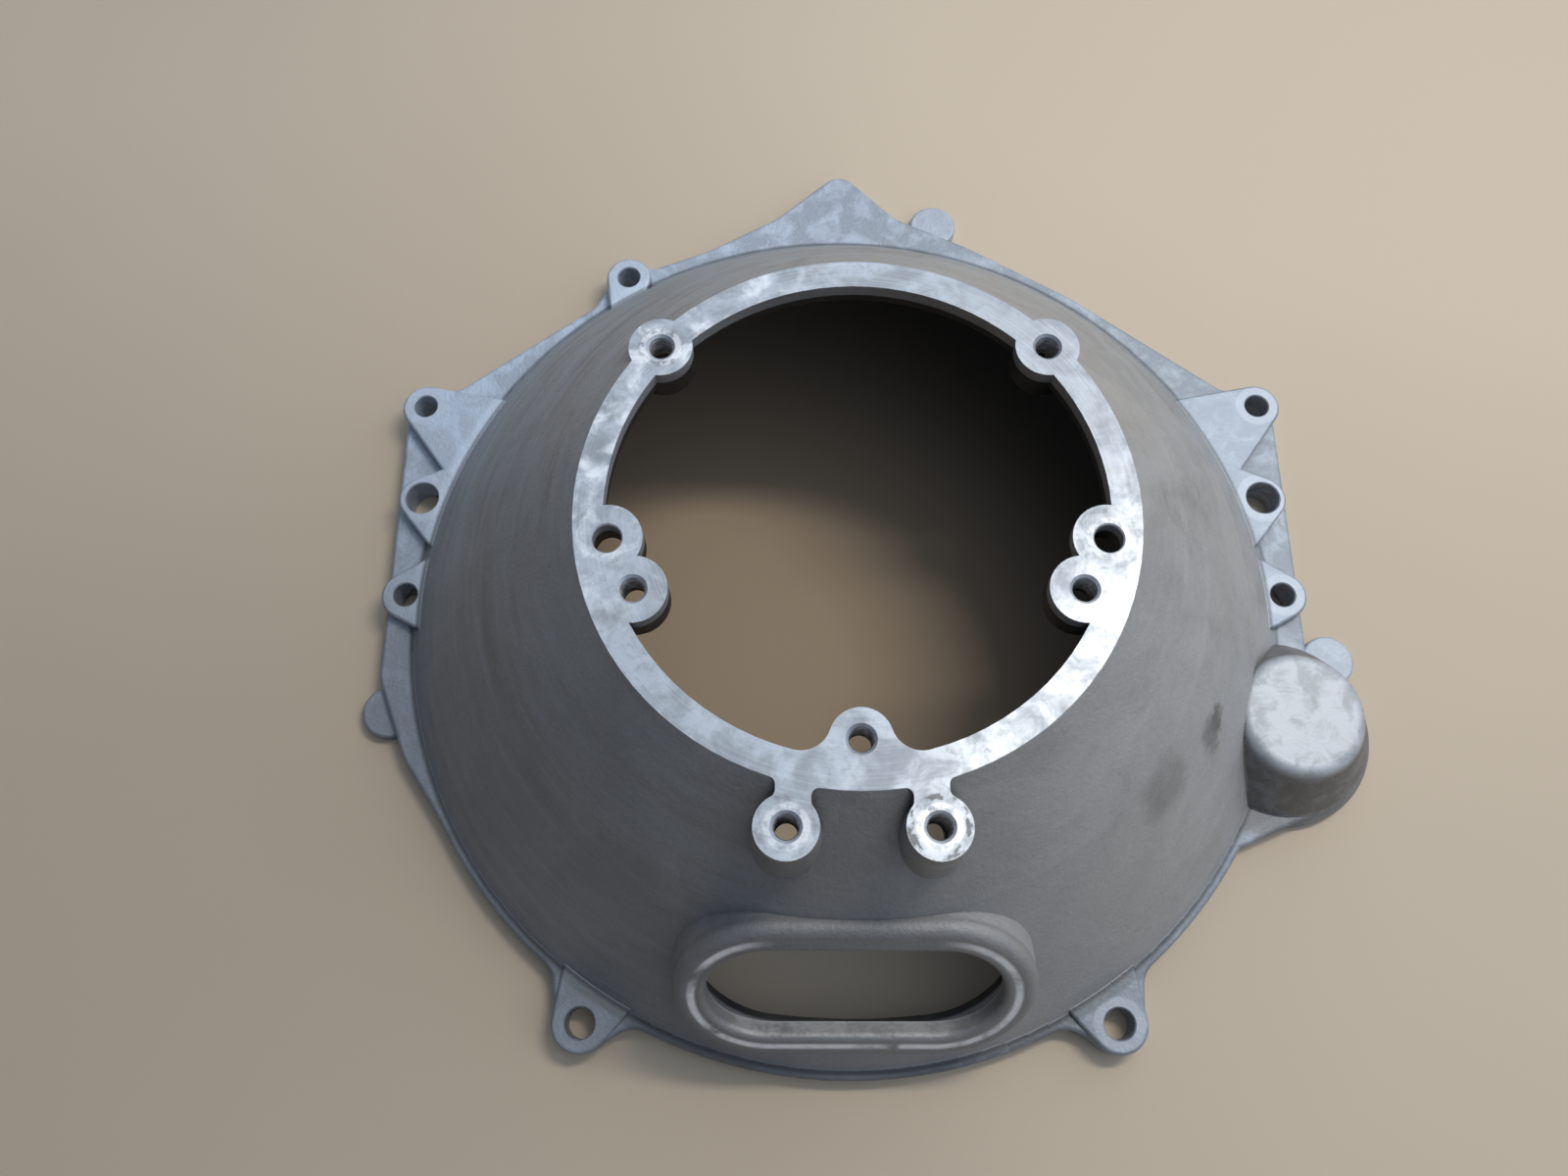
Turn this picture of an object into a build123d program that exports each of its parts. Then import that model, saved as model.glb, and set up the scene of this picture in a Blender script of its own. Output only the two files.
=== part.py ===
from build123d import *
from math import acos, atan2, cos, hypot, radians, sin
import os

# Transmission bell housing, cast in one piece, in millimetres.
# The origin is on the crankshaft axis, in the machined face that meets the engine.
# +Z points at the transmission and +Y at the pointed top of the flange.

# Bell wall
housing_depth = 125.0
base_radius = 183.6
crease_radius = 133.5
crease_height = 81.5
wall_thickness = 6.5
base_fillet = 2.0

# Machined ring that the transmission bolts to
ring_radius = 96.7
ring_bore_radius = 86.4
ring_thickness = 9.0
boss_setback = 0.4

# Flange that the engine bolts to
flange_thickness = 10.0
pad_height = 16.0
ear_height = 12.0
rim_margin = 3.9
flange_rounding = 1.8
pad_rounding = 1.4

# Holes of the engine flange, each gap measured outward from the foot of the bell
dowel_gap = 0.55
dowel_line_height = 50.0
dowel_hole_radius = 7.15
dowel_boss_radius = 10.2
side_bolt_gap = 3.3
side_bolt_pitch = 89.6
side_bolt_hole_radius = 5.15
side_boss_radius = 10.3
lower_bolt_angle = -58.2
lower_bolt_gap = 12.7
lower_bolt_hole_radius = 5.9
lower_boss_radius = 11.3
ear_fillet = 12.0
ear_setback = 0.6
upper_bolt_angle = 121.2
upper_bolt_gap = 6.1
hole_chamfer = 0.5

# Flange outline, its corners as angle, gap from the foot of the bell and rounding
side_edge_offset = 9.4
right_edge_drop = 28.0
left_edge_drop = 35.0
left_edge_rounding = 12.0
apex = (89.6, 42.4, 9.0)
apex_right_foot = (81.85, 17.4, 16.0)
apex_left_foot = (98.45, 17.6, 30.0)
right_shoulder = (71.3, 9.6, 40.0)
left_shoulder = (108.9, 7.7, 40.0)
right_knee = (55.1, 6.0, 60.0)
left_foot = (199.25, 10.0, 20.0)
left_rim_angle = 214.0
rim_inset = 0.6

# Corners of the outline beside a hole, measured from the hole
side_corner = (-13.0, 12.0, 8.0)
upper_bolt_right = (11.0, 9.0, 10.0)
upper_bolt_left = (-16.0, -12.0, 10.0)

# Corners of the webs and raised pads, measured from the hole of each
ear_corners = ((13.1, 37.0), (-14.0, 28.0), (-31.6, 6.9))
ear_pad = ((6.8, 26.3), (-22.9, 8.4))
upper_bolt_pad = ((-6.9, -25.0), (4.0, -24.0))
upper_side_pad = ((-43.3, 2.2), (-45.0, -33.2), (-11.8, -33.2))
dowel_pad = ((-8.2, 14.5), (-24.4, 14.5), (-24.4, -22.2), (-8.8, -26.8))
lower_side_pad = ((-12.8, 20.2), (-27.1, 17.0), (-27.1, -14.5), (-11.4, -17.8))

# Low tabs that carry the dust cover, placed by angle and gap
tab_height = 6.0
tab_radius = 11.0
top_tab = (76.8, 19.2)
left_tab = (192.75, 13.3)
right_tab = (-5.85, 23.9)

# Starter pocket
pocket_angle = -15.95
pocket_gap = 3.6
pocket_skirt = 4.0
pocket_height = 36.5
pocket_base_radius = 39.6
pocket_top_radius = 23.6
pocket_wall = 5.5
pocket_rounding = 5.0
pocket_web_angle = -32.5

# Release fork window
window_setback = 30.2
window_tilt = 53.5
window_width = 105.5
window_height = 46.5
lip_width = 12.0
lip_flare = 0.5
lip_stand = 5.2
lip_root = 19.5
lip_rounding = 4.5
lip_wall = 6.0
window_depth = 32.5
mouth_depth = 7.0
window_rounding = 2.5

# Holes of the transmission ring
thread_minor_radius = 4.25
thread_chamfer = 0.95
top_stud_spacing = 137.8
top_stud_height = 61.5
top_stud_boss_radius = 11.4
top_stud_boss_depth = 15.0
locator_spacing = 169.2
locator_drop = 11.7
locator_radius = 5.0
locator_boss_radius = 12.2
locator_boss_depth = 12.4
side_stud_spacing = 150.4
side_stud_drop = 29.7
side_stud_boss_radius = 11.8
side_stud_boss_depth = 14.0
centre_stud_drop = 80.2
centre_stud_boss_radius = 10.4
centre_stud_boss_depth = 15.0
centre_stud_fillet = 10.0
lower_stud_spacing = 48.0
lower_stud_drop = 107.9
lower_stud_boss_radius = 10.6
neck_width = 11.4
neck_inset = 2.2
neck_fillet = 2.6
column_length = 42.0
column_flare = 3.0

# How far cutters run past the faces they open
overrun = 1.0

# How close a point has to be to count as lying on a face or a circle
tolerance = 0.01

rim_radius = base_radius + rim_margin


def around(angle, gap):
    """Point at an angle in degrees, a gap outside the foot of the bell."""
    reach = base_radius + gap
    return (reach * cos(radians(angle)), reach * sin(radians(angle)))


def wall_radius(height):
    """Outer radius of the bell wall at a height above the engine face."""
    if height <= crease_height:
        share = (height - flange_thickness) / (crease_height - flange_thickness)
        return base_radius + share * (crease_radius - base_radius)
    share = (height - crease_height) / (housing_depth - crease_height)
    return crease_radius + share * (ring_radius - crease_radius)


def lower_wall_height(radius):
    """Height of the outer wall at a radius between the flange and the crease."""
    share = (base_radius - radius) / (base_radius - crease_radius)
    return flange_thickness + share * (crease_height - flange_thickness)


def wall_run():
    """Horizontal thickness of the sloping wall."""
    slope_length = hypot(base_radius - crease_radius, crease_height - flange_thickness)
    return wall_thickness * slope_length / (crease_height - flange_thickness)


def rounded_polygon(corners):
    """Face through corners given as x, y and corner radius."""
    points = [(x, y) for x, y, radius in corners]
    radii = [radius for x, y, radius in corners]
    return make_face(FilletPolyline(*points, radius=radii, close=True))


def on_circle(corner, centre, radius):
    """Whether a corner of an outline lies on a circle."""
    return abs(hypot(corner.X - centre[0], corner.Y - centre[1]) - radius) < tolerance


def mirrored(centre):
    """The same place on the right and on the left of the vertical centre plane."""
    x, y = centre
    return [(x, y), (-x, y)]


# Centres of the pocket and the holes
pocket = around(pocket_angle, pocket_gap)
dowel_centre = (base_radius + dowel_gap, dowel_line_height)
upper_side_bolt = (base_radius + side_bolt_gap, dowel_line_height + side_bolt_pitch / 2)
lower_side_bolt = (base_radius + side_bolt_gap, dowel_line_height - side_bolt_pitch / 2)
lower_bolt = around(lower_bolt_angle, lower_bolt_gap)
upper_bolt = around(upper_bolt_angle, upper_bolt_gap)
top_stud = (top_stud_spacing / 2, top_stud_height)
locator = (locator_spacing / 2, -locator_drop)
side_stud = (side_stud_spacing / 2, -side_stud_drop)
centre_stud = (0, -centre_stud_drop)
lower_stud = (lower_stud_spacing / 2, -lower_stud_drop)


def beside(hole, corner):
    """Corner of the flange outline, moved from beside its hole to where it lies."""
    dx, dy, rounding = corner
    return (hole[0] + dx, hole[1] + dy, rounding)


def corner_at(angle, gap, rounding=0):
    """Corner of the flange outline at an angle, a gap outside the foot of the bell."""
    return (*around(angle, gap), rounding)


def side_edge(side, drop, rounding):
    """Corners of one side edge, from a drop below its lower bolt up to the shoulder."""
    bolt_x, bolt_y = upper_side_bolt
    edge_x = bolt_x + side_edge_offset
    corners = [
        (edge_x, lower_side_bolt[1] - drop, rounding),
        (edge_x, bolt_y, 0),
        (bolt_x, bolt_y + side_edge_offset, 0),
        beside(upper_side_bolt, side_corner),
    ]
    return [(side * x, y, rounding) for x, y, rounding in corners]


def top_edge():
    """Corners of the pointed top of the flange, from right to left."""
    bolt_x, bolt_y = upper_bolt
    return [
        corner_at(*right_knee),
        corner_at(*right_shoulder),
        corner_at(*apex_right_foot),
        corner_at(*apex),
        corner_at(*apex_left_foot),
        corner_at(*left_shoulder),
        beside(upper_bolt, upper_bolt_right),
        (bolt_x, bolt_y + side_edge_offset, 0),
        (bolt_x - side_edge_offset, bolt_y, 0),
        beside(upper_bolt, upper_bolt_left),
    ]


def flange_outline():
    """Face of the flange, without its low tabs."""
    right = side_edge(1, right_edge_drop, 0)
    left = side_edge(-1, left_edge_drop, left_edge_rounding)
    foot = [corner_at(*left_foot), corner_at(left_rim_angle, rim_margin - rim_inset), (0, 0, 0)]
    shield = rounded_polygon(right + top_edge() + left[::-1] + foot)
    rim = Circle(rim_radius) + [lower_ear(1), lower_ear(-1)]
    at_ears = [corner for corner in rim.vertices() if on_circle(corner, (0, 0), rim_radius)]
    return shield + fillet(at_ears, ear_fillet) + pocket_web()


def tangent_point(centre, radius, corner, other):
    """Where a line from a corner touches a circle, on the side away from another corner."""
    across = corner[0] - centre[0]
    up = corner[1] - centre[1]
    heading = atan2(up, across)
    spread = acos(radius / hypot(across, up))
    points = []
    for angle in (heading + spread, heading - spread):
        points.append((centre[0] + radius * cos(angle), centre[1] + radius * sin(angle)))
    return max(points, key=lambda point: hypot(point[0] - other[0], point[1] - other[1]))


def web(hole, radius, corners, side=1):
    """Face of a round boss and the web from it to corners measured from its hole."""
    roots = [(hole[0] + side * dx, hole[1] + dy) for dx, dy in corners]
    first = tangent_point(hole, radius, roots[0], roots[-1])
    last = tangent_point(hole, radius, roots[-1], roots[0])
    across = hole[0] - (first[0] + last[0] + roots[0][0] + roots[-1][0]) / 4
    up = hole[1] - (first[1] + last[1] + roots[0][1] + roots[-1][1]) / 4
    reach = radius / hypot(across, up)
    crown = (hole[0] + reach * across, hole[1] + reach * up)
    return make_face(Polyline(first, *roots, last) + ThreePointArc(last, crown, first))


def lower_ear(side):
    """Ear around one lower bolt, from the rim out to its boss."""
    x, y = lower_bolt
    return web((side * x, y), lower_boss_radius - ear_setback, ear_corners, side)


def pocket_web():
    """Web of the flange from the foot of the starter pocket back to the rim."""
    climb = (flange_thickness - pocket_skirt) / (pocket_height - pocket_skirt)
    radius = pocket_base_radius + climb * (pocket_top_radius - pocket_base_radius)
    rim_x, rim_y = around(pocket_web_angle, rim_margin - rim_inset)
    corners = [(rim_x - pocket[0], rim_y - pocket[1]), (-pocket_base_radius, 0)]
    return web(pocket, radius, corners)


def raised_pads():
    """Faces of the raised pads around the upper and side holes of the flange."""
    faces = [web(upper_bolt, side_boss_radius, upper_bolt_pad)]
    side_pads = [
        (upper_side_bolt, side_boss_radius, upper_side_pad),
        (dowel_centre, dowel_boss_radius, dowel_pad),
        (lower_side_bolt, side_boss_radius, lower_side_pad),
    ]
    for (x, y), radius, corners in side_pads:
        for side in (1, -1):
            faces.append(web((side * x, y), radius, corners, side))
    return faces


def raised(face, height, rounding):
    """Prism on the engine face with its upper edges rounded."""
    prism = extrude(face, amount=height)
    rim = prism.edges().filter_by_position(Axis.Z, height - tolerance, height + tolerance)
    return fillet(rim, rounding)


def bell_body():
    """Solid of revolution inside the outer wall."""
    foot = base_radius + base_fillet
    section = rounded_polygon([
        (0, 0, 0),
        (foot, 0, 0),
        (foot, flange_thickness, 0),
        (base_radius, flange_thickness, base_fillet),
        (crease_radius, crease_height, 0),
        (ring_radius, housing_depth, 0),
        (0, housing_depth, 0),
    ])
    return revolve(Plane.XZ * section, axis=Axis.Z)


def bell_interior():
    """Space inside the wall, below the ring and through its bore."""
    run = wall_run()
    ceiling = housing_depth - ring_thickness
    section = Polyline(
        (0, -overrun),
        (base_radius - run, -overrun),
        (base_radius - run, flange_thickness),
        (crease_radius - run, crease_height),
        (wall_radius(ceiling) - run, ceiling),
        (0, ceiling),
        close=True,
    )
    bore = extrude(Circle(ring_bore_radius), amount=housing_depth + overrun)
    return revolve(make_face(Plane.XZ * section), axis=Axis.Z) + bore


def flange():
    """Engine flange with its raised pads, ears and low tabs."""
    solid = raised(flange_outline(), flange_thickness, flange_rounding)
    for pad in raised_pads():
        solid += raised(pad, pad_height, pad_rounding)
    for x, y in mirrored(lower_bolt):
        side = 1 if x > 0 else -1
        pad = web((x, y), lower_boss_radius, ear_pad, side)
        solid += raised(pad, ear_height, pad_rounding)
    for angle, gap in (top_tab, left_tab, right_tab):
        tab = Pos(*around(angle, gap)) * Circle(tab_radius)
        solid += raised(tab, tab_height, pad_rounding)
    return solid


def pocket_form(inset, roof):
    """Drafted cup for the starter nose, moved in by an inset."""
    skirt = Cylinder(
        pocket_base_radius - inset,
        pocket_skirt,
        align=(Align.CENTER, Align.CENTER, Align.MIN),
    )
    cup = Cone(
        pocket_base_radius - inset,
        pocket_top_radius - inset,
        roof - pocket_skirt,
        align=(Align.CENTER, Align.CENTER, Align.MIN),
    )
    cup = fillet(cup.edges().sort_by(Axis.Z)[-1], pocket_rounding)
    return Pos(*pocket) * (skirt + Pos(0, 0, pocket_skirt) * cup)


def window_plane():
    """Plane of the window on the wall, looking out along its axis."""
    lean = radians(window_tilt)
    reach = base_radius - window_setback
    centre = (0, -reach, lower_wall_height(reach))
    return Plane(origin=centre, x_dir=(1, 0, 0), z_dir=(0, -sin(lean), cos(lean)))


def window_slot(margin, depth):
    """Round-ended slot around the window, at a depth along its axis."""
    slot = SlotOverall(window_width + 2 * margin, window_height + 2 * margin)
    return window_plane().offset(depth) * slot


def at_lip_front(edge):
    """Whether an edge lies in the front face of the window's lip."""
    return abs(window_plane().to_local_coords(edge).center().Z - lip_stand) < tolerance


def window_lip():
    """Raised lip that flares out as it meets the wall."""
    front = window_slot(lip_width, lip_stand)
    lip = loft([window_slot(lip_width + lip_flare, -lip_root), front])
    return fillet([edge for edge in lip.edges() if at_lip_front(edge)], lip_rounding)


def cut_window(solid):
    """The solid with its window: a rounded mouth, and behind it a hollow inside the lip."""
    tunnel = extrude(window_slot(0, -window_depth), amount=window_depth + lip_stand + overrun)
    solid -= tunnel
    reach = window_width / 2 + overrun
    mouth = []
    for edge in solid.edges():
        middle = window_plane().to_local_coords(edge).center()
        if at_lip_front(edge) and abs(middle.X) < reach and abs(middle.Y) < window_height / 2 + overrun:
            mouth.append(edge)
    hollow = window_slot(lip_width - lip_wall, -window_depth)
    hollow = extrude(hollow, amount=window_depth + lip_stand - mouth_depth)
    return fillet(mouth, window_rounding) - hollow


def lower_stud_columns():
    """Columns of the lower studs, with the necks that join them to the ring."""
    x, y = lower_stud
    neck_length = -y - ring_bore_radius
    outline = Circle(ring_radius)
    for side in (1, -1):
        neck = Rectangle(neck_width, neck_length, align=(Align.CENTER, Align.MIN))
        outline += Pos(side * x, y) * Circle(lower_stud_boss_radius)
        outline += Pos(side * (x - neck_inset), y) * neck
    at_ring = [corner for corner in outline.vertices() if on_circle(corner, (0, 0), ring_radius)]
    outline = fillet([corner for corner in at_ring if corner.Y < 0], neck_fillet)
    for side in (1, -1):
        boss = (side * x, y)
        at_boss = [c for c in outline.vertices() if on_circle(c, boss, lower_stud_boss_radius)]
        outline = fillet([corner for corner in at_boss if corner.Y > y + overrun], neck_fillet)
    columns = extrude(Pos(0, 0, -column_length) * outline, amount=column_length)
    for side in (1, -1):
        flared = Cone(
            lower_stud_boss_radius + column_flare,
            lower_stud_boss_radius,
            column_length,
            align=(Align.CENTER, Align.CENTER, Align.MAX),
        )
        columns += Pos(side * x, y) * flared
    return Pos(0, 0, housing_depth) * columns


def inner_boss(centre, radius, depth):
    """Boss under the ring face, kept inside the ring's outer edge."""
    face = Pos(*centre) * Circle(radius) & Circle(ring_radius - boss_setback)
    return Pos(0, 0, housing_depth - depth) * extrude(face, amount=depth)


def centre_stud_lobe():
    """Ring with the lobe of the lowest inner stud, flared into it on both sides."""
    ring = Circle(ring_radius - boss_setback) - Circle(ring_bore_radius)
    face = ring + Pos(*centre_stud) * Circle(centre_stud_boss_radius)
    at_bore = [corner for corner in face.vertices() if on_circle(corner, (0, 0), ring_bore_radius)]
    face = fillet([corner for corner in at_bore if corner.Y < 0], centre_stud_fillet)
    lobe = Pos(0, 0, housing_depth - ring_thickness) * extrude(face, amount=ring_thickness)
    return lobe + inner_boss(centre_stud, centre_stud_boss_radius, centre_stud_boss_depth)


def top_stud_boss(centre):
    """Round boss of an upper stud, standing out of the ring on both sides."""
    boss = Cylinder(
        top_stud_boss_radius,
        top_stud_boss_depth,
        align=(Align.CENTER, Align.CENTER, Align.MAX),
    )
    return Pos(*centre, housing_depth) * boss


def ring_bosses():
    """Every boss of the transmission ring that shows inside its bore."""
    bosses = [centre_stud_lobe()]
    for centre in mirrored(top_stud):
        bosses.append(top_stud_boss(centre))
    for centre in mirrored(locator):
        bosses.append(inner_boss(centre, locator_boss_radius, locator_boss_depth))
    for centre in mirrored(side_stud):
        bosses.append(inner_boss(centre, side_stud_boss_radius, side_stud_boss_depth))
    return bosses


def flange_hole(centre, radius, height):
    """Cutter for a through hole of the engine flange, chamfered at both mouths."""
    drill = Cylinder(radius, 3 * pad_height)
    mouth = Cone(
        radius + 2 * hole_chamfer,
        radius,
        2 * hole_chamfer,
    )
    return Pos(*centre) * (drill + mouth + Pos(0, 0, height) * Rot(180, 0, 0) * mouth)


def ring_hole(centre, radius, chamfer):
    """Cutter for a hole down through the ring, with a chamfered mouth."""
    drill = Cylinder(
        radius,
        housing_depth / 2,
        align=(Align.CENTER, Align.CENTER, Align.MAX),
    )
    mouth = Rot(180, 0, 0) * Cone(radius + 2 * chamfer, radius, 2 * chamfer)
    return Pos(*centre, housing_depth) * (Pos(0, 0, overrun) * drill + mouth)


def holes():
    """Every round hole of both faces."""
    cutters = []
    for centre in mirrored(dowel_centre):
        cutters.append(flange_hole(centre, dowel_hole_radius, pad_height))
    for centre in mirrored(upper_side_bolt) + mirrored(lower_side_bolt) + [upper_bolt]:
        cutters.append(flange_hole(centre, side_bolt_hole_radius, pad_height))
    for centre in mirrored(lower_bolt):
        cutters.append(flange_hole(centre, lower_bolt_hole_radius, ear_height))
    for centre in mirrored(top_stud) + mirrored(side_stud) + mirrored(lower_stud) + [centre_stud]:
        cutters.append(ring_hole(centre, thread_minor_radius, thread_chamfer))
    for centre in mirrored(locator):
        cutters.append(ring_hole(centre, locator_radius, hole_chamfer))
    return cutters


def housing():
    """The whole casting as one solid."""
    solid = bell_body() + flange() + pocket_form(0, pocket_height)
    solid += window_lip()
    solid += lower_stud_columns()
    solid -= bell_interior()
    solid -= pocket_form(pocket_wall, pocket_height - pocket_wall)
    solid = cut_window(solid)
    for boss in ring_bosses():
        solid += boss
    for cutter in holes():
        solid -= cutter
    return solid


os.makedirs("parts", exist_ok=True)
bell_housing = housing()
bell_housing.label = "bell_housing"
export_step(bell_housing, "parts/bell_housing.step")
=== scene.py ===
import bmesh
import bpy
from math import cos, pi, sin
from mathutils import Matrix, Vector


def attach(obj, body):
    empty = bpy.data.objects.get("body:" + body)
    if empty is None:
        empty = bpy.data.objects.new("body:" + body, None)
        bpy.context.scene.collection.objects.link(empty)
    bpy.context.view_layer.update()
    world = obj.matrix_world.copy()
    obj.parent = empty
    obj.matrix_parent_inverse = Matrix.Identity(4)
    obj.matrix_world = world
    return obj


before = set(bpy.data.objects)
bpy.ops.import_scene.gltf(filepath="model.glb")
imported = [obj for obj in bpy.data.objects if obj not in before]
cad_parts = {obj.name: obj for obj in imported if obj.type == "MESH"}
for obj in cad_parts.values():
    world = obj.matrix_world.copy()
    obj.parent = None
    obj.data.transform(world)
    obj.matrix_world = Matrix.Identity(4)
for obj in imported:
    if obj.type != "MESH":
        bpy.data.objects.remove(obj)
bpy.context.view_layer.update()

# The casting, in millimetres, as its finish and its threads need it
MM = 0.001
housing_depth = 125.0
dark_inside_top = 120.0
flange_top = 10.0
pad_top = 16.0
tab_top = 6.0
base_radius = 183.6
lower_draft = 0.7007
crease_radius = 133.5
crease_height = 81.5
upper_draft = 0.846
pocket_centre = (180.0, -51.4)
pocket_reach = 40.0
pocket_top = 36.5
window_centre = (0.0, -153.4, 53.1)
window_axis = (0.0, -0.8039, 0.5948)
window_up = (0.0, 0.5948, 0.8039)
window_half_width = 52.75
window_half_height = 23.25
lip_width = 12.0
lip_crest = 5.0

# Threaded holes of the ring: x, y and how deep the thread runs
stud_drill_radius = 4.25
stud_holes = [
    (68.9, 61.5, 14.0),
    (-68.9, 61.5, 14.0),
    (75.2, -29.7, 13.0),
    (-75.2, -29.7, 13.0),
    (0.0, -80.2, 14.0),
    (24.0, -107.9, 22.0),
    (-24.0, -107.9, 22.0),
]
locator_radius = 5.0
locator_holes = [(84.6, -11.7), (-84.6, -11.7)]

# Bolt and dowel holes of the flange: x, y and radius
flange_holes = [
    (184.15, 50.0, 7.15), (-184.15, 50.0, 7.15),
    (186.9, 94.8, 5.15), (-186.9, 94.8, 5.15),
    (186.9, 5.2, 5.15), (-186.9, 5.2, 5.15),
    (103.44, -166.83, 5.9), (-103.44, -166.83, 5.9),
    (-98.27, 162.26, 5.15),
]

# Dark stains on the bell: x, y, z, reach and depth of tone
bell_stains = [
    (134.3, -64.0, 59.6, 11.0, 0.55),
    (137.0, -58.0, 59.7, 7.0, 0.6),
    (112.4, -86.6, 69.5, 17.0, 0.35),
]

# Bosses whose spot-faced tops are marked: x, y, reach and depth of tone
worn_bosses = [
    (24.0, -107.9, 10.6, 0.85),
    (-24.0, -107.9, 10.6, 0.3),
    (84.6, -11.7, 11.5, 0.3),
    (-68.9, 61.5, 8.5, 0.35),
]
bolt_seat_radius = 6.4

# Gloss and grain of the metal
cast_roughness = 0.58
cast_metallic = 0.45
machined_smoother = 0.05
machined_metallic = 0.15
skin_bump_strength = 0.5
skin_bump_distance = 0.0006


# Pieces and places

def new_piece(name, form, material):
    """Object at the origin, with a finished mesh and one material."""
    mesh = bpy.data.meshes.new(name)
    form.to_mesh(mesh)
    form.free()
    mesh.materials.append(material)
    piece = bpy.data.objects.new(name, mesh)
    bpy.context.scene.collection.objects.link(piece)
    return piece


def set_up(name, data, location, right, up, backward):
    """Camera or lamp at a place in metres, turned to three directions."""
    thing = bpy.data.objects.new(name, data)
    bpy.context.scene.collection.objects.link(thing)
    turn = Matrix((right, up, backward)).transposed().to_4x4()
    thing.matrix_world = Matrix.Translation(location) @ turn
    return thing


def place_camera():
    """Camera where the photograph was taken from, above and in front of the casting."""
    location = Vector((-0.022973, -0.160979, 0.506030))
    pitch, yaw, roll = 1.23834, -0.01358, -0.01272
    ahead = Vector((sin(yaw) * cos(pitch), cos(yaw) * cos(pitch), -sin(pitch)))
    right = Vector((cos(yaw), -sin(yaw), 0.0))
    up = right.cross(ahead)
    rolled_right = cos(roll) * right + sin(roll) * up
    rolled_up = cos(roll) * up - sin(roll) * right
    data = bpy.data.cameras.new("camera")
    data.sensor_width = 36.0
    data.lens = 27.892
    data.clip_start = 0.01
    camera = set_up("camera", data, location, rolled_right, rolled_up, -ahead)
    bpy.context.scene.camera = camera


# Finishes

class Value:
    """A number that varies over a surface. Arithmetic on it adds Math nodes."""

    def __init__(self, finish, socket):
        self.finish = finish
        self.socket = socket

    def __add__(self, other):
        return self.finish.maths("ADD", self, other)

    def __radd__(self, other):
        return self.finish.maths("ADD", other, self)

    def __sub__(self, other):
        return self.finish.maths("SUBTRACT", self, other)

    def __rsub__(self, other):
        return self.finish.maths("SUBTRACT", other, self)

    def __mul__(self, other):
        return self.finish.maths("MULTIPLY", self, other)

    def __rmul__(self, other):
        return self.finish.maths("MULTIPLY", other, self)

    def __truediv__(self, other):
        return self.finish.maths("DIVIDE", self, other)

    def __rtruediv__(self, other):
        return self.finish.maths("DIVIDE", other, self)


class Finish:
    """The nodes of a material or of the room, with one method that adds any node."""

    def __init__(self, owner):
        owner.use_nodes = True
        self.nodes = owner.node_tree.nodes
        self.links = owner.node_tree.links
        self.nodes.clear()

    def node(self, kind, settings=None, sockets=None, output=0):
        """Any node: its type, its settings and the values or links of its sockets."""
        node = self.nodes.new(kind)
        for name, setting in (settings or {}).items():
            setattr(node, name, setting)
        for name, value in (sockets or {}).items():
            if isinstance(value, Value):
                self.links.new(value.socket, node.inputs[name])
            else:
                node.inputs[name].default_value = value
        return Value(self, node.outputs[output]) if node.outputs else node

    def maths(self, operation, first, second=0.0):
        return self.node("ShaderNodeMath", {"operation": operation}, {0: first, 1: second})

    def smaller(self, first, second):
        return self.maths("MINIMUM", first, second)

    def larger(self, first, second):
        return self.maths("MAXIMUM", first, second)

    def size(self, value):
        """Value without its sign."""
        return self.maths("ABSOLUTE", value)

    def root(self, value):
        return self.maths("SQRT", value)

    def step(self, value, low, high):
        """0 at low and 1 at high, smooth between them."""
        return self.node(
            "ShaderNodeMapRange",
            {"interpolation_type": "SMOOTHSTEP"},
            {"Value": value, "From Min": low, "From Max": high},
        )

    def near(self, value, middle, reach, fade):
        """1 within a reach of a middle value, fading to 0 outside it."""
        return self.step(self.size(value - middle), reach + fade, reach)

    def mix(self, mask, under, over):
        """Colour that goes from one to the other as the mask goes from 0 to 1."""
        return self.node(
            "ShaderNodeMix", {"data_type": "RGBA"}, {0: mask, 6: under, 7: over}, output=2
        )

    def coats(self, base, *coats):
        """Base colour under coats of other tones, each let through by its own mask."""
        for mask, tone in coats:
            base = self.mix(mask, base, tone)
        return base

    def combine(self, x, y, z):
        return self.node("ShaderNodeCombineXYZ", None, {"X": x, "Y": y, "Z": z})

    def part(self, vector, axis):
        """One of a vector's three numbers."""
        return self.node("ShaderNodeSeparateXYZ", None, {"Vector": vector}, output=axis)

    def noise(self, place, scale, detail=3.0, roughness=0.55, distortion=0.0):
        return self.node(
            "ShaderNodeTexNoise",
            None,
            {
                "Vector": place,
                "Scale": scale,
                "Detail": detail,
                "Roughness": roughness,
                "Distortion": distortion,
            },
        )

    def speckle(self, place, scale, low, high, detail=3.0, distortion=0.0):
        """Patches of noise between two levels, as a mask."""
        return self.step(self.noise(place, scale, detail, 0.6, distortion), low, high)

    def enclosed(self, reach, inside=False):
        """Mask of what other surfaces shut in or, from inside the metal, of its outer corners."""
        settings = {"samples": 8, "only_local": True, "inside": inside}
        return 1 - self.node("ShaderNodeAmbientOcclusion", settings, {"Distance": reach}, output="AO")

    def surface(self, **sockets):
        """Surface shader that ends a material. An underline in a socket's name is a space."""
        named = {name.replace("_", " "): value for name, value in sockets.items()}
        shader = self.node("ShaderNodeBsdfPrincipled", None, named)
        self.node("ShaderNodeOutputMaterial", None, {"Surface": shader})


def shade(grey, warmth=0.0):
    """A grey colour, turned a little warm, or blue where warmth is below 0."""
    return (grey * (1 + warmth), grey, grey * (1 - 1.3 * warmth), 1.0)


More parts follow.
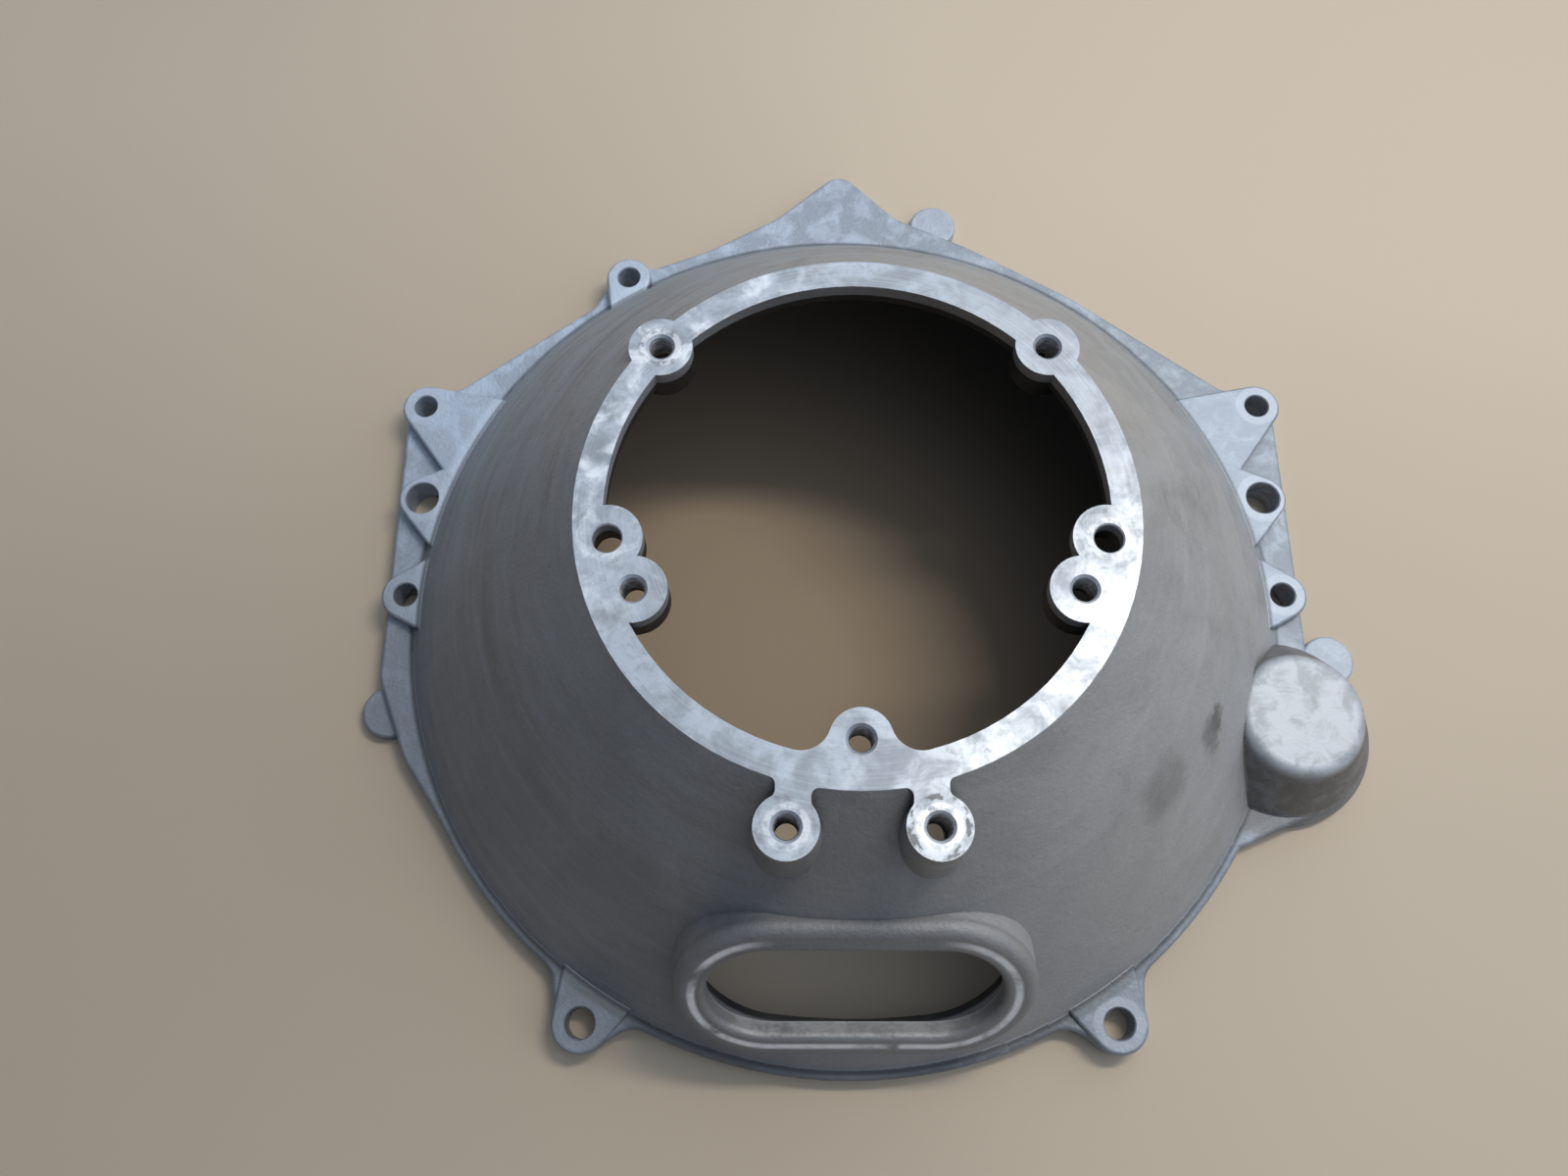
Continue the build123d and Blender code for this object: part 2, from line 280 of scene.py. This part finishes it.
class Casting:
    """Places on the casting, as values in millimetres and masks from 0 to 1."""

    def __init__(self, finish):
        self.finish = finish
        place = finish.node("ShaderNodeTexCoord", output="Object")
        self.place = finish.node(
            "ShaderNodeMapping", None, {"Vector": place, "Scale": (1 / MM, 1 / MM, 1 / MM)}
        )
        self.x, self.y, self.z = [finish.part(self.place, axis) for axis in ("X", "Y", "Z")]
        self.off_middle = finish.size(self.x)
        self.radius = self.distance(0.0, 0.0)
        self.cosine = self.x / self.radius
        self.sine = self.y / self.radius

        # Distance outward from the bell's outer wall, below and above its crease
        lower = base_radius + lower_draft * flange_top - lower_draft * self.z
        upper = crease_radius + upper_draft * crease_height - upper_draft * self.z
        self.wall = self.radius - finish.smaller(lower, upper)

    def distance(self, x, y):
        """Horizontal distance from a vertical axis."""
        across = self.x - x
        along = self.y - y
        return self.finish.root(across * across + along * along)

    def nearest(self, holes):
        """Horizontal distance from the nearest hole's edge."""
        gap = None
        for x, y, radius in holes:
            here = self.distance(x, y) - radius
            gap = here if gap is None else self.finish.smaller(gap, here)
        return gap

    def ringed(self, spread, height):
        """Coordinates stretched round the axis, for streaks that follow the turned form."""
        return self.finish.combine(self.cosine * spread, self.sine * spread, height)

    def find_surfaces(self):
        """Masks of the kinds of surface, and of the sides where light and shade are painted into the
        tone.
        """
        f = self.finish
        normal = f.node("ShaderNodeTexCoord", output="Normal")
        self.upward = f.step(f.part(normal, "Z"), 0.9, 0.985)
        # Left side, painted paler and bluer as if lit by bluish sky light
        self.bluish_lit_left = f.step(self.x, 110.0, -150.0)
        # Lower left, painted darker as if in shade
        self.shaded_low_left = f.step(self.x * 0.7 + self.y, 40.0, -190.0)

        # Machined: the ring's face, the chamfers of its holes and the engine face
        ring_face = f.step(self.z, housing_depth - 0.3, housing_depth - 0.1)
        stud_gap = self.nearest(
            [(x, y, stud_drill_radius) for x, y, depth in stud_holes]
            + [(x, y, locator_radius) for x, y in locator_holes]
        )
        chamfer = f.step(self.z, housing_depth - 1.4, housing_depth - 1.1) * f.step(stud_gap, 1.6, 1.3)
        self.machined = f.larger(f.larger(ring_face, chamfer), f.step(self.z, 0.2, 0.1))

        # Cast: the hollow, darkened by dust and by painted shade, the starter pocket, and the flange
        # with its pads and tabs
        self.inside = f.step(self.wall, -3.0, -5.0) * f.step(self.z, dark_inside_top, dark_inside_top - 1.0)
        self.bolt_gap = self.nearest(flange_holes)
        self.pocket_gap = self.distance(*pocket_centre)
        self.pocket = f.step(self.pocket_gap, pocket_reach + 1.0, pocket_reach)
        self.pocket *= f.step(self.wall, 0.5, 1.5) * f.step(self.z, flange_top + 0.2, flange_top + 1.5)
        self.level = f.step(self.wall, 0.05, 0.6) * f.step(self.z, pad_top + 1.5, pad_top + 0.8)
        self.level *= 1 - self.pocket


class Skin:
    """Patterns of the cast skin, from the size of a hand down to the sand of the mould."""

    def __init__(self, f, at):
        self.broad = f.noise(at.place, 0.012, 2.0, 0.5)
        self.clouds = f.noise(at.place, 0.022, 4.0, 0.65, 1.0)
        self.patches = f.noise(at.place, 0.045, 4.0, 0.6, 0.4)
        self.specks = f.noise(at.place, 0.22, 4.0, 0.65)
        self.grain = f.noise(at.place, 0.6, 4.0, 0.7)
        self.streaks = f.noise(at.ringed(2.4, at.z * 0.22), 1.0, 4.0, 0.6)
        self.fine_streaks = f.noise(at.ringed(3.5, at.z * 0.9), 1.0, 3.0, 0.6)


def bell_tone(f, at, skin):
    """Bell: matt, brown near the ring, streaked on both sides, with painted light: paler on the right
    and lower right, a bluish sheen behind and on the left, painted shade at the lower left.
    """
    # The right side, where painted light falls
    right = f.step(at.x, -40.0, 120.0)
    # Right side, painted paler in patches as if lit
    lit_right_patches = f.step(at.x, -10.0, 80.0) * f.step(skin.patches, 0.2, 0.55)
    # Lower right, painted paler as if lit
    lit_lower_right = f.step(at.x - at.y, 90.0, 200.0)
    near_ring = f.step(at.z, 70.0, 112.0) * f.step(at.y, -20.0, 60.0)
    # Bluish, paler patches behind: a painted sheen of sky light
    bluish_sheen_behind = f.step(at.y - at.x * 0.7, 40.0, 190.0) * f.step(skin.patches + skin.streaks, 0.75, 1.15)
    bell = f.coats(
        f.mix(f.step(skin.patches, 0.3, 0.7), shade(0.245), shade(0.29)),
        (f.step(skin.broad, 0.4, 0.65) * 0.4, shade(0.25, 0.05)),
        (near_ring * 0.6, shade(0.31, 0.11)),
        # Pale streaks on the right: a painted sheen of the lit side
        (f.step(skin.streaks, 0.5, 0.75) * right * 0.3, shade(0.45)),
        (f.step(skin.fine_streaks, 0.55, 0.8) * 0.12, shade(0.5)),
        (f.step(skin.grain, 0.52, 0.72) * 0.35, shade(0.13)),
        (f.step(skin.grain, 0.46, 0.3) * 0.2, shade(0.5)),
        (f.step(skin.specks, 0.5, 0.7) * 0.14, shade(0.12)),
        (f.step(skin.clouds, 0.5, 0.62) * 0.32, shade(0.40)),
        (f.step(skin.clouds, 0.47, 0.37) * 0.32, shade(0.16, 0.02)),
        (lit_right_patches * 0.35, shade(0.38, -0.03)),
        (bluish_sheen_behind * 0.5, shade(0.42, -0.12)),
        # Left side painted paler and bluer as if sky-lit, with streaks of painted sheen and darker
        # streaks
        (at.bluish_lit_left * 0.45, shade(0.33, -0.13)),
        (at.bluish_lit_left * f.step(skin.streaks, 0.5, 0.7) * 0.35, shade(0.45, -0.14)),
        (at.bluish_lit_left * f.step(skin.streaks, 0.46, 0.3) * 0.35, shade(0.15, 0.02)),
        # Painted shade at the lower left
        (at.shaded_low_left * 0.5, shade(0.14, 0.02)),
        (lit_lower_right * 0.35, shade(0.42)),
    )
    for x, y, z, reach, depth in bell_stains:
        dx, dy, dz = at.x - x, at.y - y, at.z - z
        ragged = f.root(dx * dx + dy * dy + dz * dz)
        ragged += (skin.specks - 0.5) * 14.0 + (skin.patches - 0.5) * 12.0
        bell = f.mix(f.step(ragged, reach, reach * 0.35) * depth, bell, shade(0.09, 0.04))
    return bell


def window_tone(f, at, skin, bell):
    """Bell with the fork window's lip: painted shade on the lip, a painted highlight along its crest
    and painted light on the lower ledge.
    """
    over = at.y - window_centre[1]
    out = at.z - window_centre[2]
    rise = over * window_up[1] + out * window_up[2]
    stand = over * window_axis[1] + out * window_axis[2]
    beyond = f.larger(at.off_middle - (window_half_width - window_half_height), 0.0)
    rim = f.root(beyond * beyond + rise * rise) - window_half_height

    lip = f.step(rim, lip_width + 1.0, lip_width) * f.step(stand, -2.0, 0.0)
    lip *= f.step(at.y, -100.0, -110.0)
    low_or_end = f.larger(f.step(rise, 0.0, -10.0), f.step(at.off_middle, 26.0, 46.0))
    # Painted highlight along the lip's crest, at its lower part and its ends
    crest_highlight = f.near(rim, lip_crest, 0.5, 1.6) * lip * f.step(skin.patches, 0.32, 0.55)
    # Lower ledge, painted paler in patches as painted light
    ledge = f.step(rim, 0.8, 0.3) * f.step(rise, -17.0, -19.0)
    ledge *= f.step(at.y, -120.0, -125.0) * f.step(at.off_middle, 50.0, 36.0)
    return f.coats(
        bell,
        # Painted shade on the lip's face
        (lip * 0.4, shade(0.12)),
        (crest_highlight * low_or_end * 0.9, shade(0.8, -0.02)),
        (ledge * f.step(skin.specks + skin.patches, 0.8, 1.15) * 0.8, shade(0.34)),
    )


def flange_tone(f, at, skin):
    """Flange, pads and tabs: brighter than the bell, scuffed, with painted light on the pad tops and
    the left, and painted shade at the front, the lower left and the foot of bell and pocket.
    """
    scuffs = f.speckle(at.place, 0.09, 0.42, 0.7, 5.0, 0.6)
    pad_face = f.step(at.z, pad_top - 1.0, pad_top - 0.1) * at.upward
    tab_face = f.step(at.z, tab_top + 1.0, tab_top + 0.2) * (1 - at.shaded_low_left)
    by_bolts = f.step(at.bolt_gap, 4.6, 3.6) * at.upward
    pale_line = f.step(at.wall + (skin.specks - 0.5) * 3.0, 7.0, 3.0) * pad_face
    shaded_front = f.step(at.y, -100.0, -165.0)
    before_pocket = (at.x - pocket_centre[0]) * 0.5 - (at.y - pocket_centre[1]) * 0.85
    pocket_foot_shade = f.step(at.pocket_gap, 49.0, 44.0) * f.step(before_pocket, 5.0, 20.0)
    return f.coats(
        f.mix(scuffs, shade(0.29, -0.10), shade(0.42, -0.10)),
        (f.step(skin.grain, 0.5, 0.8) * 0.35, shade(0.2, -0.08)),
        # Pad tops painted paler and bluer, as if lit from the sky above
        (pad_face * 0.45, shade(0.50, -0.12)),
        (f.step(skin.specks, 0.55, 0.72) * 0.3, shade(0.52, -0.08)),
        (by_bolts * 0.5, shade(0.56, -0.08)),
        (tab_face * 0.5, shade(0.50, -0.09)),
        # Left side painted paler and bluer, as if lit by bluish sky light
        (at.bluish_lit_left * (0.35 + scuffs * 0.45), shade(0.59, -0.15)),
        # A pale line on the pad tops along the bell's foot, on the left only
        (pale_line * at.bluish_lit_left * 0.5, shade(0.72, -0.12)),
        # Painted shade at the lower left
        (at.shaded_low_left * at.shaded_low_left * 0.75, shade(0.15, -0.06)),
        # Painted shade of the bell on the flange at the front
        (f.step(at.wall, 6.0, 4.0) * shaded_front * 0.6, shade(0.13)),
        # Painted shade at the bell's foot, deepest at the lower left
        (f.step(at.wall, 3.0, 1.0) * (0.1 + at.shaded_low_left * 0.6), shade(0.07)),
        # Painted shade at the pocket's foot, in front of it
        (pocket_foot_shade * 0.7, shade(0.15, 0.02)),
    )


def pocket_tone(f, at):
    """Starter pocket: top painted pale as if lit, sides painted dark as if shaded, with smudges."""
    top = f.step(at.z, pocket_top - 5.5, pocket_top - 0.2)
    smudges = f.speckle(at.place, 0.12, 0.42, 0.66, 4.0, 0.5)
    # Pale top and dark sides: painted light and painted shade
    return f.mix(smudges * 0.6, f.mix(top, shade(0.15, 0.04), shade(0.46, -0.05)), shade(0.25, -0.03))


def ring_tone(f, at, skin, cuts, smudges):
    """Machined ring: turned marks, smudges of oil and old sealant, worn rims round some holes, painted
    highlights at the front right and upper left, and painted shade on the right.
    """
    flecks = f.speckle(at.place, 0.35, 0.48, 0.7, 5.0, 0.4)
    # Right part, painted darker as painted shade
    shaded_right = f.step(at.x + at.y * 0.6, 66.0, 104.0)
    # Front right, painted white as a painted highlight
    highlight_front_right = f.step(at.x * 0.75 - at.y * 0.65, 46.0, 94.0)
    # Upper left, painted white in patches as a painted highlight
    highlight_upper_left = f.speckle(at.place, 0.11, 0.44, 0.72, 4.0, 0.4)
    highlight_upper_left *= f.step(at.y * 0.5 - at.x, 40.0, 90.0)
    ring = f.coats(
        f.mix(smudges, shade(0.45, -0.10), shade(0.31, -0.09)),
        (shaded_right * 0.5, shade(0.27, -0.08)),
        (highlight_front_right * 0.8 * (1 - smudges * 0.7), shade(0.78, -0.02)),
        (flecks * 0.5, shade(0.28, -0.06)),
        (f.step(cuts, 0.45, 0.7) * 0.25, shade(0.62, -0.08)),
        (highlight_upper_left * 0.8, shade(0.85, -0.04)),
    )
    for x, y, reach, depth in worn_bosses:
        away = at.distance(x, y)
        arcs = f.noise(f.combine((at.x - x) / away, (at.y - y) / away, away * 0.2), 1.5, 3.0, 0.6)
        rim = f.near(away + (skin.specks - 0.5) * 2.0, reach - 1.4, 0.7, 0.8)
        seat = f.near(away + (skin.specks - 0.5) * 1.5, bolt_seat_radius, 0.7, 0.8)
        ring = f.coats(
            ring,
            (rim * f.step(arcs, 0.46, 0.56) * depth, shade(0.12)),
            (seat * f.step(arcs, 0.58, 0.46) * depth, shade(0.95)),
        )
    return ring


def cast_aluminium():
    """Bare cast aluminium: sand-fine grain outside, bright cuts on the machined faces."""
    material = bpy.data.materials.new("bare_cast_aluminium")
    f = Finish(material)
    at = Casting(f)
    at.find_surfaces()
    skin = Skin(f, at)
    # Painted shade where other surfaces shut a place in
    crevice_shade = f.enclosed(0.007)
    corner = f.enclosed(0.0016, inside=True)
    cuts = f.noise(at.ringed(2.2, at.radius * 1.6), 1.0, 3.0, 0.6)
    smudges = f.speckle(at.place, 0.085, 0.38, 0.68, 6.0, 0.5)

    bell = window_tone(f, at, skin, bell_tone(f, at, skin))
    # Inside the bell: dust, darkened further as painted shade
    dust_and_shade_inside = f.mix(f.step(skin.patches, 0.35, 0.7), shade(0.025, 0.08), shade(0.045, 0.05))
    # Painted shade along the foot of the bell on the flange
    foot_shade_line = at.level * f.step(at.wall, 2.2, 1.0)
    # Outer corners paler: worn metal and a painted highlight
    corner_wear_and_glint = f.step(corner, 0.25, 0.6) * (1 - at.inside)
    colour = f.coats(
        f.mix(at.level, bell, flange_tone(f, at, skin)),
        (foot_shade_line * 0.5, shade(0.06)),
        (at.pocket, pocket_tone(f, at)),
        (at.inside, dust_and_shade_inside),
        (f.step(crevice_shade, 0.3, 0.75) * (0.65 - at.level * 0.3), shade(0.05, 0.02)),
        (corner_wear_and_glint * (0.25 + skin.specks * 0.7), shade(0.62, -0.04)),
        (at.machined, ring_tone(f, at, skin, cuts, smudges)),
    )

    grit = (skin.grain - 0.5) + (skin.specks - 0.5) * 0.8 + (skin.fine_streaks - 0.5) * 0.25
    smooth_pocket = at.pocket * f.step(at.z, pocket_top - 6.5, pocket_top - 0.5)
    height = grit * (1 - smooth_pocket * 0.6) * (1 - at.machined) + at.machined * (cuts - 0.5) * 0.12
    roughness = cast_roughness - at.machined * machined_smoother
    f.surface(
        Base_Color=colour,
        Roughness=roughness + at.machined * smudges * 0.08 + (skin.grain - 0.5) * 0.1,
        Metallic=cast_metallic + at.machined * machined_metallic,
        Normal=f.node("ShaderNodeBump", None, {
            "Strength": skin_bump_strength, "Distance": skin_bump_distance, "Height": height}),
    )
    return material


# Threads of the stud holes, in millimetres

thread_wall_radius = 4.3
thread_crest_radius = 3.8
thread_half_width = 0.6
thread_pitch = 1.5
thread_start = 1.6
thread_steps = 28


def cut_thread():
    """Freshly cut aluminium, darkened by oil."""
    material = bpy.data.materials.new("cut_thread")
    f = Finish(material)
    at = Casting(f)
    oil = f.noise(at.place, 0.4, 3.0, 0.6)
    f.surface(
        Base_Color=f.mix(f.step(oil, 0.35, 0.7), shade(0.22, 0.02), shade(0.45)),
        Roughness=0.38 + oil * 0.1,
        Metallic=0.85,
        Normal=f.node("ShaderNodeBump", None, {
            "Strength": 0.3, "Distance": 0.0002, "Height": f.noise(at.place, 3.0)}),
    )
    return material


def stud_threads():
    """Fine threads in the stud holes, a helical ridge in each."""
    form = bmesh.new()
    for x, y, depth in stud_holes:
        top = housing_depth - thread_start
        turns = (depth - 2 * thread_start) / thread_pitch
        steps = int(turns * thread_steps)
        section = [
            form.verts.new((radius * MM, 0.0, height * MM))
            for radius, height in (
                (thread_wall_radius, top + thread_half_width),
                (thread_crest_radius, top),
                (thread_wall_radius, top - thread_half_width),
            )
        ]
        edges = [form.edges.new((section[n], section[(n + 1) % 3])) for n in range(3)]
        spun = bmesh.ops.spin(
            form,
            geom=section + edges,
            cent=(0.0, 0.0, 0.0),
            axis=(0.0, 0.0, 1.0),
            dvec=(0.0, 0.0, -thread_pitch * MM / thread_steps),
            angle=2 * pi * steps / thread_steps,
            steps=steps,
        )
        last = [item for item in spun["geom_last"] if isinstance(item, bmesh.types.BMVert)]
        form.faces.new(section)
        form.faces.new(last)

        # A tag marks the vertices of the threads that already stand in their holes
        fresh = [vert for vert in form.verts if not vert.tag]
        bmesh.ops.translate(form, verts=fresh, vec=(x * MM, y * MM, 0.0))
        for vert in fresh:
            vert.tag = True
    bmesh.ops.recalc_face_normals(form, faces=form.faces)
    threads = new_piece("stud_threads", form, cut_thread())
    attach(threads, "root")


# Floor and light

floor_half_width = 12.0
# Floor tones: painted shaded and lit ends, and painted shade under the bell
floor_dim = (0.385, 0.317, 0.239, 1.0)
floor_pale = (0.565, 0.476, 0.368, 1.0)
floor_shade_under_bell = (0.27, 0.19, 0.12, 1.0)
window_light = (1.0, 0.93, 0.82)
room_shade = (0.065, 0.09, 0.135, 1.0)
room_light = (1.12, 1.27, 1.48, 1.0)
room_horizon = (0.36, 0.375, 0.40, 1.0)


def floor_paper():
    """Unbleached paper, painted paler to the right and the back as if lit from there, with painted
    shade under the bell's opening.
    """
    material = bpy.data.materials.new("floor")
    f = Finish(material)
    place = f.node("ShaderNodeTexCoord", output="Object")
    across = f.part(place, "X")
    along = f.part(place, "Y")
    # Painted light, paler to the right and the back, with random mottle
    lit_side_and_mottle = f.step(across, -0.4, 0.4) * 0.7 + f.step(along, -0.1, 0.35) * 0.6
    lit_side_and_mottle += (f.noise(place, 3.0, 3.0, 0.5) - 0.5) * 0.4
    behind = along - 0.04
    # Painted shade on the floor under the bell's opening
    under_bell = f.step(f.root(across * across + behind * behind), 0.155, 0.11)
    f.surface(
        Base_Color=f.coats(f.mix(lit_side_and_mottle, floor_dim, floor_pale), (under_bell * 0.6, floor_shade_under_bell)),
        Roughness=0.9,
        Specular_IOR_Level=0.2,
    )
    return material


def lay_floor():
    """Plain pale floor, under the casting."""
    form = bmesh.new()
    bmesh.ops.create_grid(form, x_segments=1, y_segments=1, size=floor_half_width)
    floor = new_piece("floor", form, floor_paper())


def area_lamp(name, place, length, width, power, colour):
    """Long soft lamp at a place in metres, facing the casting, its length along x."""
    data = bpy.data.lights.new(name, "AREA")
    data.shape = "RECTANGLE"
    data.size = length
    data.size_y = width
    data.energy = power
    data.color = colour
    backward = Vector(place).normalized()
    sideways = (Vector((1.0, 0.0, 0.0)) - backward.x * backward).normalized()
    set_up(name, data, place, sideways, backward.cross(sideways), backward)


def light_the_room():
    """Long window light from the upper right, and a pale room around it."""
    area_lamp(
        "window_light", (0.45, 0.30, 1.07), length=0.48, width=0.12, power=6.7, colour=window_light
    )
    world = bpy.data.worlds.new("room")
    bpy.context.scene.world = world
    f = Finish(world)
    direction = f.node("ShaderNodeTexCoord", output="Generated")
    to_window = f.node("ShaderNodeVectorMath", {"operation": "DOT_PRODUCT"}, {
        0: direction, 1: (0.70, 0.42, 0.58)}, output="Value")
    height = f.part(direction, "Z")
    room = f.coats(
        f.mix(f.step(to_window, 0.0, 1.0), room_shade, room_light),
        (f.step(height, 0.36, 0.04) * 0.85, room_horizon),
    )
    background = f.node("ShaderNodeBackground", None, {"Color": room, "Strength": 1.0})
    f.node("ShaderNodeOutputWorld", None, {"Surface": background})


place_camera()
lay_floor()
light_the_room()
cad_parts["bell_housing"].material_slots[0].material = cast_aluminium()
stud_threads()
bpy.context.scene.view_settings.view_transform = "Standard"
